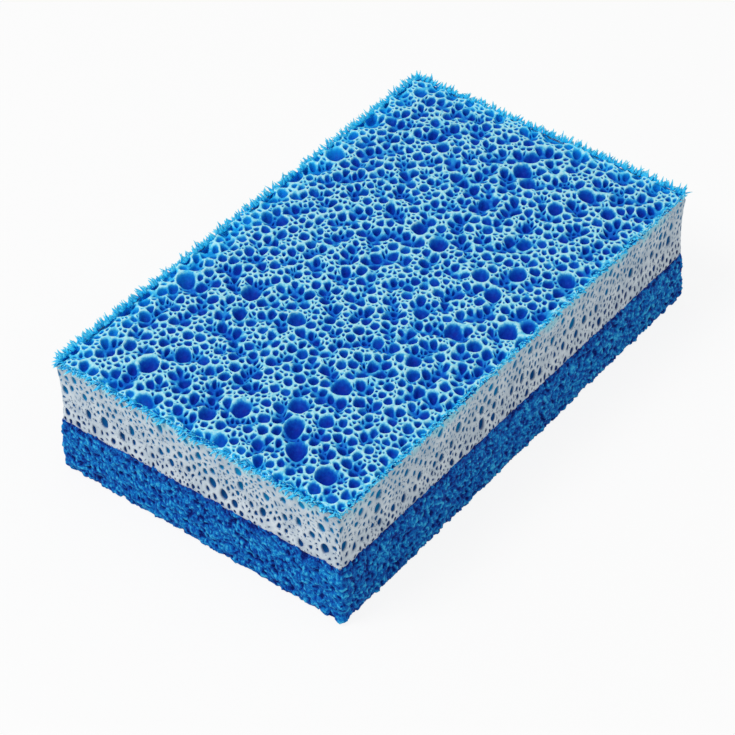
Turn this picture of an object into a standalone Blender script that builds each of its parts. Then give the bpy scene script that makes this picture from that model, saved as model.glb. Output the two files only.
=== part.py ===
"""A laminated cleaning sponge: three soft layers bonded face to face and cut out as one block.

A thick blue foam base lies at the bottom, with rolled lower edges and open pits in its sides.
A white foam core lies on it, pulled in at its waist, with round holes in its four sides.
A thin blue open-cell net covers the top, with a torn edge all round.
The origin is the middle of the underside, X runs along the block and Z points up.
"""

import math
import random

import bmesh
import bpy
from mathutils import Matrix, Vector

MM = 0.001

# Block
LENGTH = 120 * MM
WIDTH = 72 * MM
CORNER_RADIUS = 2.2 * MM
BOND_GAP = 0.3 * MM

# Foam base. Its bond with the core falls away towards +X and +Y, as the real block was cut.
BASE_THICKNESS = 13.1 * MM
BOND_FALL_X = 2.2 * MM
BOND_FALL_Y = 1.6 * MM
BASE_EDGE_ROLL = 3.2 * MM
BASE_TAPER = 1.1 * MM
BASE_PIT_SMALL = 0.8 * MM
BASE_PIT_LARGE = 1.5 * MM
BASE_PIT_SPREAD = 6.8 * MM

# Foam core
CORE_THICKNESS = 14.2 * MM
CORE_WAIST = 0.6 * MM
CORE_INSET = 0.3 * MM
CORE_HOLE_SMALL = 0.7 * MM
CORE_HOLE_LARGE = 1.7 * MM
CORE_HOLE_SPREAD = 6.9 * MM

# Open-cell net
NET_THICKNESS = 1.7 * MM
NET_FLOOR = 0.35 * MM
NET_SWELL = 0.22 * MM
SWELL_LENGTH = 22 * MM
STRUT_WIDTH = 0.65 * MM
CELL_SMALL = 1.1 * MM
CELL_LARGE = 3.1 * MM
CELL_GAP = 0.4 * MM
FRINGE_REACH = 0.5 * MM
FRINGE_RISE = 0.5 * MM

# Colour and roughness of each foam
BASE_FOAM = (0.006, 0.16, 0.56), 0.85
CORE_FOAM = (0.72, 0.77, 0.82), 0.9
NET_FOAM = (0.01, 0.28, 0.80), 0.6

# Fineness of the curved stretches, and how the scatters work
BASE_SEED = 7
CORE_SEED = 11
NET_SEED = 5
CORNER_STEPS = 3
ROLL_STEPS = 3
WAIST_RINGS = 3
PIT_SIDES = 6
PIT_RINGS = 3
PIT_SINK = 0.18
PIT_GAP = 0.5 * MM
SCATTER_TRIES = 160
JOIN_DISTANCE = 0.25 * MM
CELL_FILL = 0.52
FLOOR_SHARE = 0.3
RIM_LIMIT = 0.35
NEAR_CELLS = 4


def bond_height(x, y):
    """Height of the base's top face, which is a plane."""
    return BASE_THICKNESS - BOND_FALL_X * x / LENGTH - BOND_FALL_Y * y / WIDTH


def core_bottom(x, y):
    return bond_height(x, y) + BOND_GAP


def core_top():
    return BASE_THICKNESS + BOND_GAP + CORE_THICKNESS


def net_bottom():
    return core_top() + BOND_GAP


def net_top():
    return net_bottom() + NET_THICKNESS


def clear_scene():
    for old in list(bpy.data.objects):
        bpy.data.objects.remove(old, do_unlink=True)


def new_collection(name):
    made = bpy.data.collections.new(name)
    bpy.context.scene.collection.children.link(made)
    return made


def material(name, colour, roughness):
    made = bpy.data.materials.new(name)
    made.use_nodes = True
    shader = made.node_tree.nodes["Principled BSDF"]
    shader.inputs["Base Color"].default_value = (*colour, 1)
    shader.inputs["Roughness"].default_value = roughness
    shader.inputs["Metallic"].default_value = 0
    return made


def object_from(mesh, name, collection):
    bmesh.ops.recalc_face_normals(mesh, faces=mesh.faces)
    data = bpy.data.meshes.new(name)
    mesh.to_mesh(data)
    mesh.free()
    made = bpy.data.objects.new(name, data)
    collection.objects.link(made)
    return made


def block(rings):
    """The block's box with rounded upright edges, one unit high, with a level ring at each share of it."""
    mesh = bmesh.new()
    bmesh.ops.create_cube(mesh, size=1)
    bmesh.ops.scale(mesh, vec=(LENGTH, WIDTH, 1), verts=mesh.verts)
    bmesh.ops.translate(mesh, vec=(0, 0, 0.5), verts=mesh.verts)
    uprights = [e for e in mesh.edges if e.verts[0].co.z != e.verts[1].co.z]
    bmesh.ops.bevel(
        mesh,
        geom=uprights,
        offset=CORNER_RADIUS,
        segments=CORNER_STEPS,
        profile=0.5,
        affect="EDGES",
    )
    for share in rings:
        everything = mesh.verts[:] + mesh.edges[:] + mesh.faces[:]
        bmesh.ops.bisect_plane(mesh, geom=everything, plane_co=(0, 0, share), plane_no=(0, 0, 1))
    return mesh


def set_sides(mesh, pull, low, high):
    """Draws each ring in by pull(share of height), and sets it between the heights low and high of (x, y)."""
    for vertex in mesh.verts:
        share = vertex.co.z
        vertex.co.x *= 1 - 2 * pull(share) / LENGTH
        vertex.co.y *= 1 - 2 * pull(share) / WIDTH
        bottom = low(vertex.co.x, vertex.co.y)
        top = high(vertex.co.x, vertex.co.y)
        vertex.co.z = bottom + share * (top - bottom)


def base_pull(share):
    """How far the base's side stands in from the block's edge: a taper, and the roll at the foot."""
    taper = BASE_TAPER * (1 - share)
    rise = max(0, BASE_EDGE_ROLL - share * BASE_THICKNESS)
    return taper + BASE_EDGE_ROLL - math.sqrt(BASE_EDGE_ROLL**2 - rise**2)


def core_pull(share):
    """How far the core's side stands in from the block's edge: deepest at the waist."""
    return CORE_INSET + CORE_WAIST * (1 - (2 * share - 1) ** 2)


def scatter(rng, span_u, span_v, radii, gap):
    """Centres (u, v, radius) for circles on a panel, the largest first, each clear of the others."""
    placed = []
    for radius in sorted(radii, reverse=True):
        for _ in range(SCATTER_TRIES):
            u = rng.uniform(radius - span_u / 2, span_u / 2 - radius)
            v = rng.uniform(radius - span_v / 2, span_v / 2 - radius)
            if all(math.hypot(u - a, v - b) > radius + r + gap for a, b, r in placed):
                placed.append((u, v, radius))
                break
    return placed


def pit_radii(rng, small, large, span_u, span_v, spread):
    """Radii for pits that lie about spread apart, with many small ones and few large ones."""
    count = round(span_u * span_v / spread**2)
    return [small + (large - small) * rng.random() ** 2 for _ in range(count)]


def add_pit(cutter, place, outwards, radius):
    """Adds a faceted ball that cuts a bowl, with its pole along the panel's outward direction."""
    turn = outwards.to_track_quat("Z", "Y").to_matrix().to_4x4()
    bmesh.ops.create_uvsphere(
        cutter,
        u_segments=PIT_SIDES,
        v_segments=PIT_RINGS,
        radius=radius,
        matrix=Matrix.Translation(place - PIT_SINK * radius * outwards) @ turn,
    )


def add_side_pits(cutter, rng, small, large, spread, thickness, middle, pull):
    """Pits in the four sides of a layer whose middle lies at the height middle(x, y)."""
    for quarter in range(4):
        outwards = Matrix.Rotation(math.radians(90 * quarter), 3, "Z") @ Vector((0, -1, 0))
        along = Vector((-outwards.y, outwards.x, 0))
        across, depth = (LENGTH, WIDTH) if quarter % 2 == 0 else (WIDTH, LENGTH)
        room_u = across - 2 * (CORNER_RADIUS + large)
        room_v = thickness - 2 * PIT_GAP
        radii = pit_radii(rng, small, large, room_u, room_v, spread)
        for u, v, radius in scatter(rng, room_u, room_v, radii, PIT_GAP):
            place = along * u + outwards * (depth / 2 - pull(0.5 + v / thickness))
            place.z = middle(place.x, place.y) + v
            add_pit(cutter, place, outwards, radius)


def cut(target, cutter):
    cutter.hide_render = True
    cutter.display_type = "WIRE"
    boolean = target.modifiers.new("pits", "BOOLEAN")
    boolean.operation = "DIFFERENCE"
    boolean.solver = "EXACT"
    boolean.object = cutter


def make_base(parts, cutters):
    turns = [math.radians(90 * step / ROLL_STEPS) for step in range(1, ROLL_STEPS + 1)]
    mesh = block([BASE_EDGE_ROLL * (1 - math.cos(turn)) / BASE_THICKNESS for turn in turns])
    set_sides(mesh, base_pull, lambda x, y: 0, bond_height)
    base = object_from(mesh, "absorbent_base", parts)

    upright = bond_height(LENGTH / 2, WIDTH / 2) - BASE_EDGE_ROLL
    pits = bmesh.new()
    add_side_pits(
        pits,
        random.Random(BASE_SEED),
        BASE_PIT_SMALL,
        BASE_PIT_LARGE,
        BASE_PIT_SPREAD,
        upright,
        lambda x, y: bond_height(x, y) - upright / 2,
        lambda share: BASE_TAPER * (1 - share),
    )
    cut(base, object_from(pits, "base_pit_cutter", cutters))
    base.data.materials.append(material("blue_base_foam", *BASE_FOAM))
    return base


def make_core(parts, cutters):
    rings = [step / (WAIST_RINGS + 1) for step in range(1, WAIST_RINGS + 1)]
    mesh = block(rings)
    set_sides(mesh, core_pull, core_bottom, lambda x, y: core_top())
    core = object_from(mesh, "foam_core", parts)

    thinnest = core_top() - core_bottom(-LENGTH / 2, -WIDTH / 2)
    holes = bmesh.new()
    add_side_pits(
        holes,
        random.Random(CORE_SEED),
        CORE_HOLE_SMALL,
        CORE_HOLE_LARGE,
        CORE_HOLE_SPREAD,
        thinnest,
        lambda x, y: (core_bottom(x, y) + core_top()) / 2,
        core_pull,
    )
    cut(core, object_from(holes, "core_hole_cutter", cutters))
    core.data.materials.append(material("white_core_foam", *CORE_FOAM))
    return core


def clip(polygon, normal, limit):
    """The part of a convex polygon where point . normal is at most limit."""
    kept = []
    for here, after in zip(polygon, polygon[1:] + polygon[:1]):
        a = here.dot(normal) - limit
        b = after.dot(normal) - limit
        if a <= 0:
            kept.append(here)
        if a * b < 0:
            kept.append(here.lerp(after, a / (a - b)))
    return kept


def cell_outlines(cells, outline):
    """The foam cells that fill the outline, a polygon for each (u, v, radius): large cells crowd small ones."""
    outlines = []
    for u, v, radius in cells:
        polygon = outline
        for a, b, other in cells:
            across = Vector((a - u, b - v))
            if 0 < across.length < NEAR_CELLS * CELL_LARGE + radius:
                reach = (across.length_squared + radius**2 - other**2) / 2
                polygon = clip(polygon, across, across.dot(Vector((u, v))) + reach)
        if len(polygon) > 2:
            outlines.append(polygon)
    return outlines


def block_outline():
    """The block's rounded rectangle, anticlockwise."""
    points = []
    for corner, (side_x, side_y) in enumerate(((1, 1), (-1, 1), (-1, -1), (1, -1))):
        middle = Vector((side_x * (LENGTH / 2 - CORNER_RADIUS), side_y * (WIDTH / 2 - CORNER_RADIUS)))
        for step in range(CORNER_STEPS + 1):
            angle = math.radians(90 * (corner + step / CORNER_STEPS))
            points.append(middle + CORNER_RADIUS * Vector((math.cos(angle), math.sin(angle))))
    return points


def open_cell(mesh, face):
    """Sinks one cell: a flat rim of half a strut, then a wall that slopes to a smaller floor."""
    centre = face.calc_center_median()
    sides = [(line.verts[0].co, line.verts[1].co) for line in face.edges]
    inner = min((centre - a).cross((b - a).normalized()).length for a, b in sides)
    rim = min(STRUT_WIDTH / 2, RIM_LIMIT * inner)
    bmesh.ops.inset_individual(mesh, faces=[face], thickness=rim, use_even_offset=True)
    slope = FLOOR_SHARE * (inner - rim)
    bmesh.ops.inset_individual(mesh, faces=[face], thickness=slope, use_even_offset=True)
    deepest = NET_THICKNESS - NET_FLOOR - NET_SWELL
    depth = deepest * min(1, inner / CELL_SMALL)
    for vertex in face.verts:
        vertex.co.z -= depth


def swell(x, y):
    """The low swell of the cut face, at most zero."""
    turn = 2 * math.pi / SWELL_LENGTH
    return NET_SWELL * (math.sin(turn * x) * math.cos(turn * (y + x / 2)) - 1) / 2


def make_net(parts):
    rng = random.Random(NET_SEED)
    mean_square = (CELL_SMALL**2 + CELL_SMALL * CELL_LARGE + CELL_LARGE**2) / 3
    count = round(CELL_FILL * LENGTH * WIDTH / (math.pi * mean_square))
    radii = [CELL_SMALL + (CELL_LARGE - CELL_SMALL) * rng.random() for _ in range(count)]
    cells = scatter(rng, LENGTH, WIDTH, radii, CELL_GAP)

    mesh = bmesh.new()
    for polygon in cell_outlines(cells, block_outline()):
        mesh.faces.new([mesh.verts.new((point.x, point.y, 0)) for point in polygon])
    bmesh.ops.remove_doubles(mesh, verts=mesh.verts, dist=JOIN_DISTANCE)
    for face in list(mesh.faces):
        open_cell(mesh, face)
    for vertex in mesh.verts:
        vertex.co.z += net_top() + swell(vertex.co.x, vertex.co.y)

    outer_edges = [line for line in mesh.edges if line.is_boundary]
    torn = {vertex for line in outer_edges for vertex in line.verts}
    made = bmesh.ops.extrude_edge_only(mesh, edges=outer_edges)["geom"]
    for vertex in made:
        if isinstance(vertex, bmesh.types.BMVert):
            vertex.co.z = net_bottom()
    lower_edges = [line for line in mesh.edges if line.is_boundary]
    bmesh.ops.contextual_create(mesh, geom=lower_edges)
    for vertex in sorted(torn, key=lambda v: (v.co.x, v.co.y)):
        outwards = Vector((vertex.co.x / LENGTH, vertex.co.y / WIDTH, 0)).normalized()
        vertex.co += outwards * FRINGE_REACH * rng.random()
        vertex.co.z += FRINGE_RISE * rng.random()
    net = object_from(mesh, "scrubbing_net", parts)
    net.data.materials.append(material("blue_net_foam", *NET_FOAM))
    return net


def main():
    clear_scene()
    parts = new_collection("laminated_sponge")
    cutters = new_collection("pit_cutters")
    origin = bpy.data.objects.new("sponge_origin", None)
    parts.objects.link(origin)
    for layer in (make_base(parts, cutters), make_core(parts, cutters), make_net(parts)):
        layer.parent = origin


main()
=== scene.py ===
# %% [markdown]
# # A three-layer scrub sponge
# This lesson dresses a packed sponge: a dense blue base, a white foam core and a coarse open-cell net
# on top. All three are foams, so one idea serves them all: bubbles of many sizes crowd each other, and a
# knife then cuts through them. We scatter circles for the bubbles, work out the cells that they press
# each other into, and sink a bowl into each cell.

import math
import random

import bmesh
import bpy
import numpy as np
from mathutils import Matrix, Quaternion, Vector, noise
from mathutils.geometry import delaunay_2d_cdt
from mathutils.kdtree import KDTree


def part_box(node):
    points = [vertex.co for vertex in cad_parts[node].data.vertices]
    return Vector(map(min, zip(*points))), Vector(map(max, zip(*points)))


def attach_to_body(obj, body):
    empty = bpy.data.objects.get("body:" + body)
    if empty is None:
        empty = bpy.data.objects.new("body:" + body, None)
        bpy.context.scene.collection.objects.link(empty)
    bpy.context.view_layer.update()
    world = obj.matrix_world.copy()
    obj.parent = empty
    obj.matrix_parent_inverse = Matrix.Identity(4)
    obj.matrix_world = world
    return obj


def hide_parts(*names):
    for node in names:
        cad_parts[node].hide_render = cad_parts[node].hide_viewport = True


MM = 0.001

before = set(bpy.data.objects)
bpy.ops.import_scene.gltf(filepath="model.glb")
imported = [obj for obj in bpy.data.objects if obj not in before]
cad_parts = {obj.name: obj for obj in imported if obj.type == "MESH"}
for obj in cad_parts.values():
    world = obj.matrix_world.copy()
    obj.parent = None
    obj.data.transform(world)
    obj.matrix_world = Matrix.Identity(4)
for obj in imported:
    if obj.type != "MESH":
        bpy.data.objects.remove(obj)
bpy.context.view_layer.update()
base_low, base_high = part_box("absorbent_base")
_, core_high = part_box("foam_core")
_, net_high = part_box("scrubbing_net")

# %% [markdown]
# ## The camera
# The photograph looks down on one corner of the block from well above, through a long lens. A camera is
# easiest to read as two angles round the object, a distance and a point to aim at. The lens follows from
# how many pixels wide the picture is for each unit of its distance.

# %% Set up the camera
PHOTO_SIDE = 735
FOCAL_LENGTH_PIXELS = 2467
SENSOR_MM = 36
CAMERA_AZIMUTH = math.radians(-51.41)
CAMERA_ELEVATION = math.radians(42.43)
CAMERA_ROLL = math.radians(-1.28)
CAMERA_DISTANCE = 529.3 * MM
CAMERA_AIM = Vector((-0.84, 3.68, 1.79)) * MM


def direction_to(azimuth, elevation):
    """The direction from the object to something that stands at these angles, in radians."""
    level = math.cos(elevation)
    return Vector((math.sin(azimuth) * level, -math.cos(azimuth) * level, math.sin(elevation)))


def photo_camera():
    back = direction_to(CAMERA_AZIMUTH, CAMERA_ELEVATION)
    camera = bpy.data.objects.new("camera", bpy.data.cameras.new("camera"))
    bpy.context.scene.collection.objects.link(camera)
    camera.data.sensor_width = SENSOR_MM
    camera.data.lens = SENSOR_MM * FOCAL_LENGTH_PIXELS / PHOTO_SIDE
    camera.location = CAMERA_AIM + CAMERA_DISTANCE * back
    camera.rotation_mode = "QUATERNION"
    roll = Quaternion((0, 0, 1), CAMERA_ROLL)
    camera.rotation_quaternion = (-back).to_track_quat("-Z", "Y") @ roll
    bpy.context.scene.camera = camera
    return camera


camera = photo_camera()
print("lens in mm:", round(camera.data.lens, 1))

# %% [markdown]
# ## The block that was cut
# Every layer follows the same rounded rectangle, so its path is written once: a distance walked round
# the block gives a place on its edge and the direction that faces out. The bond between the blue base
# and the white core isn't level on the real sponge, so its four corner heights are read from the frame.

# %% Describe the block's edge and its sloping bond
STAND_PROUD = 0.4 * MM
LENGTH = base_high.x - base_low.x + 2 * STAND_PROUD
WIDTH = base_high.y - base_low.y + 2 * STAND_PROUD
CORNER_RADIUS = 0.9 * MM
CORNER_SEARCH = 4 * MM
STRAIGHT_X = LENGTH - 2 * CORNER_RADIUS
STRAIGHT_Y = WIDTH - 2 * CORNER_RADIUS
CORNER_ARC = CORNER_RADIUS * math.pi / 2
AROUND = 2 * (STRAIGHT_X + STRAIGHT_Y) + 4 * CORNER_ARC


def edge_of_block(walked):
    """Place (x, y) and outward direction (x, y) for each distance walked round the block."""
    walked = np.mod(walked, AROUND)
    x, y, out_x, out_y = (np.zeros_like(walked) for _ in range(4))
    start = 0.0
    for quarter in range(4):
        facing = math.pi / 2 * (quarter - 1)
        straight = STRAIGHT_X if quarter % 2 == 0 else STRAIGHT_Y
        depth = (WIDTH if quarter % 2 == 0 else LENGTH) / 2
        along = walked - start - straight / 2
        turned = np.clip((along - straight / 2) / CORNER_RADIUS, 0, math.pi / 2)
        slid = np.minimum(along, straight / 2)
        here = (walked >= start) & (walked <= start + straight + CORNER_ARC)
        normal = (np.cos(facing + turned), np.sin(facing + turned))
        tangent = (-math.sin(facing), math.cos(facing))
        middle = depth - CORNER_RADIUS
        x[here] = (tangent[0] * slid + math.cos(facing) * middle + CORNER_RADIUS * normal[0])[here]
        y[here] = (tangent[1] * slid + math.sin(facing) * middle + CORNER_RADIUS * normal[1])[here]
        out_x[here] = normal[0][here]
        out_y[here] = normal[1][here]
        start += straight + CORNER_ARC
    return x, y, out_x, out_y


def base_corner_height(side_x, side_y):
    reach_x = LENGTH / 2 - CORNER_SEARCH
    reach_y = WIDTH / 2 - CORNER_SEARCH
    points = [vertex.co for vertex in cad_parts["absorbent_base"].data.vertices]
    return max(p.z for p in points if side_x * p.x > reach_x and side_y * p.y > reach_y)


BOND_CORNERS = {(a, b): base_corner_height(a, b) for a in (-1, 1) for b in (-1, 1)}


def bond_height(x, y):
    """Height of the base's top face at a place, between its four corner heights."""
    along = x / LENGTH + 0.5
    across = y / WIDTH + 0.5
    front = BOND_CORNERS[-1, -1] * (1 - along) + BOND_CORNERS[1, -1] * along
    back = BOND_CORNERS[-1, 1] * (1 - along) + BOND_CORNERS[1, 1] * along
    return front * (1 - across) + back * across


print("bond corners in mm:", {key: round(z / MM, 1) for key, z in BOND_CORNERS.items()})

# %% [markdown]
# ## Bubbles that crowd each other
# Foam starts as bubbles of mixed sizes. We drop circles on a flat strip, the largest first, and let them
# overlap a little. The strip is later wrapped round the block, so one that goes round joins its own end.
# A grid of buckets keeps the search short: each new circle looks only at its neighbours.

# %% Scatter the bubbles
SCATTER_TRIES = 24


def scatter_bubbles(rng, length, height, sizes, squeeze, goes_round):
    """Places (u, v, radius) on a strip. Two bubbles come no nearer than squeeze times their radii."""
    column_count = int(length / (2 * max(sizes)))
    column_width = length / column_count
    buckets = {}
    bubbles = []

    def crowded(u, v, radius):
        column = int(u / column_width)
        row = int(v / column_width)
        for step in range(-1, 2):
            near = (column + step) % column_count if goes_round else column + step
            for level in range(row - 1, row + 2):
                for a, b, other in buckets.get((near, level), ()):
                    gap = abs(u - a)
                    if goes_round:
                        gap = min(gap, length - gap)
                    if gap * gap + (v - b) ** 2 < (squeeze * (radius + other)) ** 2:
                        return True
        return False

    for radius in sorted(sizes, reverse=True):
        for _ in range(SCATTER_TRIES):
            u = rng.uniform(0, length)
            v = rng.uniform(0, height)
            if not crowded(u, v, radius):
                key = (int(u / column_width), int(v / column_width))
                buckets.setdefault(key, []).append((u, v, radius))
                bubbles.append((u, v, radius))
                break
    return bubbles


def mixed_sizes(rng, *kinds):
    """Radii for several kinds of bubble, each given as (how many, smallest, largest)."""
    return [rng.uniform(low, high) for count, low, high in kinds for _ in range(count)]


TRIAL_SIDE = 20 * MM
trial_sizes = mixed_sizes(random.Random(1), (40, 1.5 * MM, 2 * MM))
trial_bubbles = scatter_bubbles(random.Random(1), TRIAL_SIDE, TRIAL_SIDE, trial_sizes, 1.0, False)
print("a trial patch has room for", len(trial_bubbles), "of", len(trial_sizes), "bubbles")

# %% [markdown]
# ## Cells from bubbles
# Where two bubbles press together they share a flat wall. Seen from above that is a power diagram: each
# cell starts as a large shape, and each neighbour cuts it along a straight line that leans towards the
# smaller bubble. Corners that nearly meet are then welded, so the walls join up like a real net.

# %% Work out the cells
WELD_DISTANCE = 0.09 * MM
# Half the side of a cell's first shape, in largest radii, and how far off its neighbours are looked for.
CELL_START = 3
NEIGHBOUR_REACH = 1.6
LONELY_REACH = 4.5 * MM


def cut_shape(shape, normal_x, normal_y, limit):
    """The part of a convex shape where the distance along the normal is at most limit."""
    sides = [x * normal_x + y * normal_y - limit for x, y in shape]
    if max(sides) <= 0:
        return shape
    kept = []
    for k, (x, y) in enumerate(shape):
        before, here = sides[k - 1], sides[k]
        if (before <= 0) != (here <= 0):
            share = before / (before - here)
            last_x, last_y = shape[k - 1]
            kept.append((last_x + share * (x - last_x), last_y + share * (y - last_y)))
        if here <= 0:
            kept.append((x, y))
    return kept


def press_cells(bubbles, starting_shape, turn=None):
    """One convex shape per bubble. turn is the strip's length if it goes round."""
    largest = max(radius for _, _, radius in bubbles)
    edge = CELL_START * largest
    copies = list(bubbles)
    if turn:
        copies += [(u + turn, v, r) for u, v, r in bubbles if u < edge]
        copies += [(u - turn, v, r) for u, v, r in bubbles if u > turn - edge]
    tree = KDTree(len(copies))
    for index, (u, v, _) in enumerate(copies):
        tree.insert((u, v, 0), index)
    tree.balance()
    shapes = []
    for own, (u, v, radius) in enumerate(bubbles):
        shape = starting_shape(u, v, edge)
        reach = max(LONELY_REACH, NEIGHBOUR_REACH * (radius + largest))
        near = tree.find_range((u, v, 0), reach)
        for _, index, distance in sorted(near, key=lambda found: found[2]):
            if index == own or len(shape) < 3:
                continue
            a, b, other = copies[index]
            to_a, to_b = a - u, b - v
            wall = (distance**2 + radius**2 - other**2) / 2
            shape = cut_shape(shape, to_a, to_b, to_a * u + to_b * v + wall)
        if len(shape) > 2:
            shapes.append(shape)
    return shapes


def weld_cells(shapes, turn=None):
    """Joins the shapes' corners. Gives the corners (u, v) and each cell's corner numbers."""
    mesh = bmesh.new()
    for shape in shapes:
        if turn:
            scale = 2 * math.pi / turn
            places = [(math.cos(u * scale) / scale, math.sin(u * scale) / scale, v) for u, v in shape]
        else:
            places = [(u, v, 0) for u, v in shape]
        mesh.faces.new([mesh.verts.new(place) for place in places])
    bmesh.ops.remove_doubles(mesh, verts=mesh.verts, dist=WELD_DISTANCE)
    mesh.verts.index_update()
    if turn:
        corners = [(math.atan2(v.co.y, v.co.x) * turn / (2 * math.pi) % turn, v.co.z) for v in mesh.verts]
    else:
        corners = [(v.co.x, v.co.y) for v in mesh.verts]
    cells = [[vertex.index for vertex in face.verts] for face in mesh.faces]
    mesh.free()
    return np.array(corners), cells


def whole_trial(u, v, edge):
    return [(0, 0), (TRIAL_SIDE, 0), (TRIAL_SIDE, TRIAL_SIDE), (0, TRIAL_SIDE)]


trial_corners, trial_cells = weld_cells(press_cells(trial_bubbles, whole_trial))
print("the trial's", len(trial_cells), "cells share", len(trial_corners), "corners")

# %% [markdown]
# ## From a flat pattern to a sheet of bowls
# Each cell becomes a few rings of points, from the shared wall down to the floor of its bowl. Blender's
# Subdivision Surface then rounds the walls into struts and the rings into round pores, so the rings can
# stay coarse. Every point carries a shade for the colour, from 0 on the skin to 1 in the deepest hole:
# it is painted shade, darker the deeper a point lies, and on the net a painted highlight on the struts.

# %% Build a sheet of cells
END_MARGIN = 1e-6


def ring_faces(outer, inner):
    count = len(outer)
    return [(outer[k], outer[(k + 1) % count], inner[(k + 1) % count], inner[k]) for k in range(count)]


def split_cells(corners, cells, corner_data, pieces, length):
    """Shares the cells out along the strip. Gives each piece's corners, cells and corner data."""
    for piece in range(pieces):
        chosen = [
            cell for cell in cells
            if int(corners[cell[0], 0] / length * pieces - END_MARGIN) == piece
        ]
        used = sorted({index for cell in chosen for index in cell})
        renumber = {index: place for place, index in enumerate(used)}
        renumbered = [[renumber[index] for index in cell] for cell in chosen]
        yield corners[used], renumbered, [corner_data[index] for index in used]


def cell_rings(corners, cells, corner_data, rings_for, turn=None):
    """Points (u, v, height, shade and more) and faces. rings_for gives a cell's inner rings."""
    points = [(*corner, *data) for corner, data in zip(corners.tolist(), corner_data)]
    faces = []
    for number, cell in enumerate(cells):
        outline = corners[cell]
        if turn:
            outline = outline.copy()
            outline[:, 0] -= turn * np.round((outline[:, 0] - outline[0, 0]) / turn)
        last = cell
        for ring in rings_for(outline, [corner_data[index] for index in cell], number):
            start = len(points)
            points.extend(ring)
            fresh = list(range(start, start + len(cell)))
            faces.extend(ring_faces(last, fresh))
            last = fresh
        faces.append(tuple(last))
    return np.array(points), faces


def new_object(name, data):
    made = bpy.data.objects.new(name, data)
    bpy.context.scene.collection.objects.link(made)
    return made


def put_values(data, name, values, domain="POINT"):
    layer = data.attributes.new(name, "FLOAT", domain)
    layer.data.foreach_set("value", np.asarray(values, dtype=np.float32))


def foam_sheet(name, places, faces, shade, edge=None, crease=None):
    """A smooth subdivided mesh from the rings, with its shade, its nearness to the edge and its creases."""
    data = bpy.data.meshes.new(name)
    data.from_pydata(places.tolist(), [], faces)
    put_values(data, "shade", shade)
    if edge is not None:
        put_values(data, "edge", edge)
    if crease is not None:
        ends = np.empty(2 * len(data.edges), dtype=np.int32)
        data.edges.foreach_get("vertices", ends)
        ends = ends.reshape(-1, 2)
        put_values(data, "crease_edge", np.minimum(crease[ends[:, 0]], crease[ends[:, 1]]), "EDGE")
    data.shade_smooth()
    made = new_object(name, data)
    smooth = made.modifiers.new("rounding", "SUBSURF")
    smooth.levels = 1
    smooth.render_levels = 1
    return made


def triangles(made):
    evaluated = made.evaluated_get(bpy.context.evaluated_depsgraph_get())
    return sum(len(face.vertices) - 2 for face in evaluated.data.polygons)


def measure_cell(outline):
    """A cell's centre, the spokes to its corners, their lengths and how far off its nearest side is."""
    centre = outline.mean(axis=0)
    spokes = outline - centre
    lengths = np.hypot(spokes[:, 0], spokes[:, 1])
    after = np.roll(outline, -1, axis=0) - outline
    sides = np.hypot(after[:, 0], after[:, 1])
    inner = (np.abs(after[:, 0] * spokes[:, 1] - after[:, 1] * spokes[:, 0]) / sides).min()
    return centre, spokes, lengths, inner


trial_room = measure_cell(trial_corners[trial_cells[0]])[3]
print("a trial cell has room for a pore of radius", round(trial_room / MM, 2), "mm")

# %% [markdown]
# ## The open-cell net, laid flat
# The scrubbing face is a coarse net: large pores, many middling ones and small ones between them, with
# thin pale struts. It is drawn as a flat plan with a border that is later rolled over the block's edge. In
# the photograph the pores look round although the top is seen at a slant. So the cells are made a little
# longer along the diagonal that the camera looks along: they are pressed in a squashed plan and then
# stretched. Whether the real foam has such a grain can't be seen.

# %% Lay the net out flat
NET_ROLL = 0.8 * MM
NET_SKIRT = 0.9 * MM
NET_BORDER = NET_ROLL * (math.pi / 2 - 1) + NET_SKIRT
GRAIN_ANGLE = math.radians(38.6)
GRAIN_STRETCH = 1.28
ARC_STEPS = 5


def net_outline():
    """The net's rounded rectangle laid flat, with its rolled border, from its lowest corner at (0, 0)."""
    radius = CORNER_RADIUS + NET_BORDER
    points = []
    for quarter, (side_x, side_y) in enumerate(((1, 1), (-1, 1), (-1, -1), (1, -1))):
        x = LENGTH / 2 + NET_BORDER + side_x * (LENGTH / 2 - CORNER_RADIUS)
        y = WIDTH / 2 + NET_BORDER + side_y * (WIDTH / 2 - CORNER_RADIUS)
        for step in range(ARC_STEPS + 1):
            angle = math.pi / 2 * (quarter + step / ARC_STEPS)
            points.append((x + radius * math.cos(angle), y + radius * math.sin(angle)))
    return points


def along_grain(points, stretch):
    """Stretches flat points along the grain of the foam, about (0, 0)."""
    grain = np.array([math.cos(GRAIN_ANGLE), math.sin(GRAIN_ANGLE)])
    points = np.asarray(points, dtype=float)
    return points + (stretch - 1) * (points @ grain)[..., None] * grain


NET_SIZE = np.array([LENGTH + 2 * NET_BORDER, WIDTH + 2 * NET_BORDER])
SQUASHED_OUTLINE = [tuple(place) for place in along_grain(net_outline(), 1 / GRAIN_STRETCH)]
print("net laid flat in mm:", [round(side / MM, 1) for side in NET_SIZE.tolist()])

# %% [markdown]
# ## The net's bubbles
# Three kinds of bubble make the net's large, middling and small pores. Where real bubbles burst into one
# another, a few pores share one wide bowl, with thin webs deep in it. So some of the largest bubbles are
# split into a nest of two to four, and each nest's bowl is kept in a list for later.

# %% Scatter the net's bubbles
NET_BUBBLES = (110, 1.5 * MM, 2.35 * MM), (1150, 0.7 * MM, 1.3 * MM), (2250, 0.28 * MM, 0.58 * MM)
NET_SQUEEZE = 0.8
NEST_SMALLEST = 1.45 * MM
NEST_SHARE = 0.5
NEST_COUNT = 2, 4
NEST_UNEVENNESS = 0.15
NEST_OFFSET = 0.55
NEST_SIZES = 0.45, 0.62
NEST_REACH = 0.8


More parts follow.
